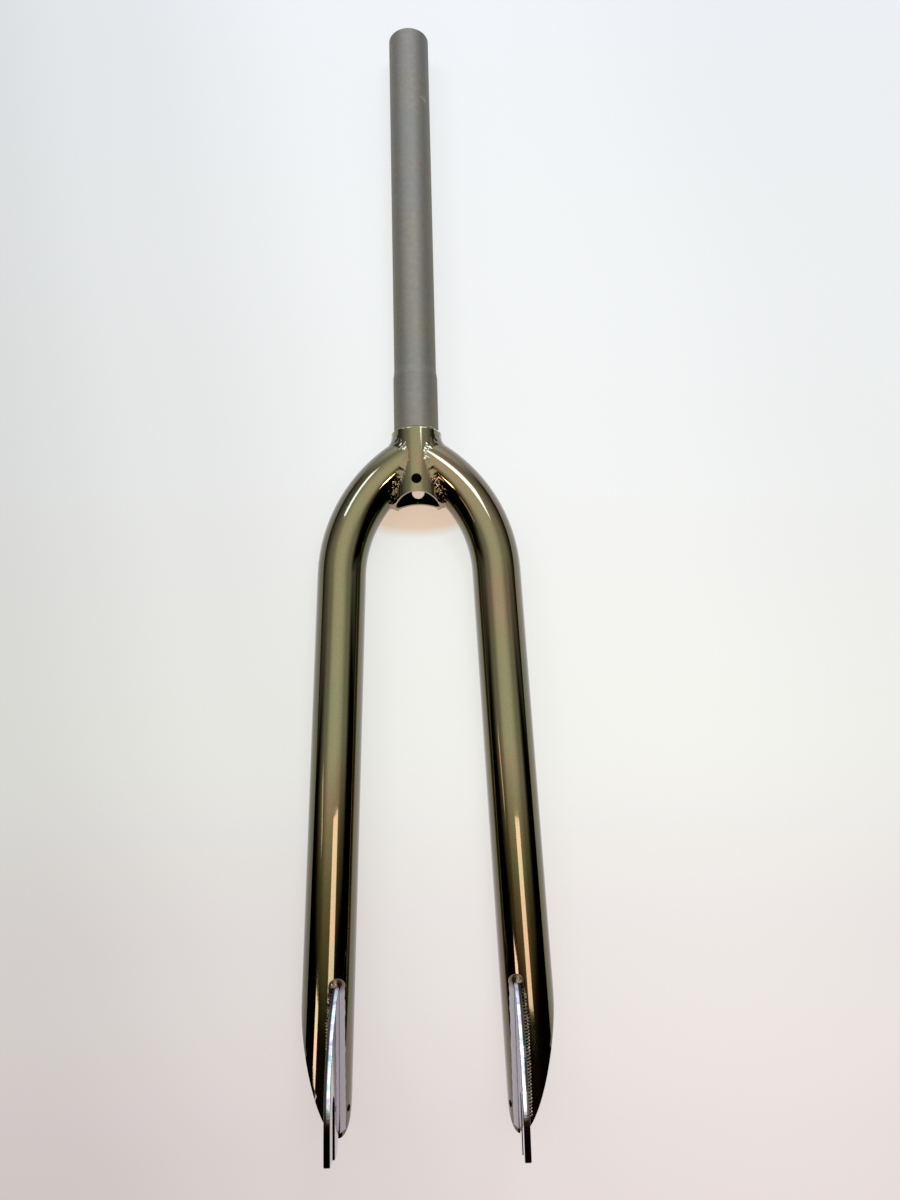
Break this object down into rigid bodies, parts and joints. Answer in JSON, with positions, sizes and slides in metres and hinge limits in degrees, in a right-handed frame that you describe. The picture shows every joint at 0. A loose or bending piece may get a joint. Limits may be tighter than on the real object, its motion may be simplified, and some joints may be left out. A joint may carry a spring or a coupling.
{
  "type": "bmx fork",
  "caption": "Rigid bicycle fork: bent round legs welded to the collar of a straight threadless steerer, with slotted plate dropouts that carry the front axle.",
  "frame": {"origin": "on the steering axis, at the foot of the seat that carries the lower headset bearing", "axes": "+X across the fork, +Y along the steerer towards its top, +Z out of the fork's front; the fork lies on its back"},
  "size_m": [0.151, 0.7375, 0.0739],
  "materials": {
    "bare_steel": "satin, bare, turned",
    "smoke_finish": "gloss, dark translucent smoke over bright metal"
  },
  "bodies": {
    "root": {"steerer_tube": "bare_steel", "right_leg": "smoke_finish", "left_leg": "smoke_finish", "right_leg_cap": "smoke_finish", "left_leg_cap": "smoke_finish", "right_dropout": "smoke_finish", "left_dropout": "smoke_finish", "right_crown_weld": "smoke_finish", "left_crown_weld": "smoke_finish", "right_dropout_weld": "smoke_finish", "left_dropout_weld": "smoke_finish"}
  },
  "joints": []
}
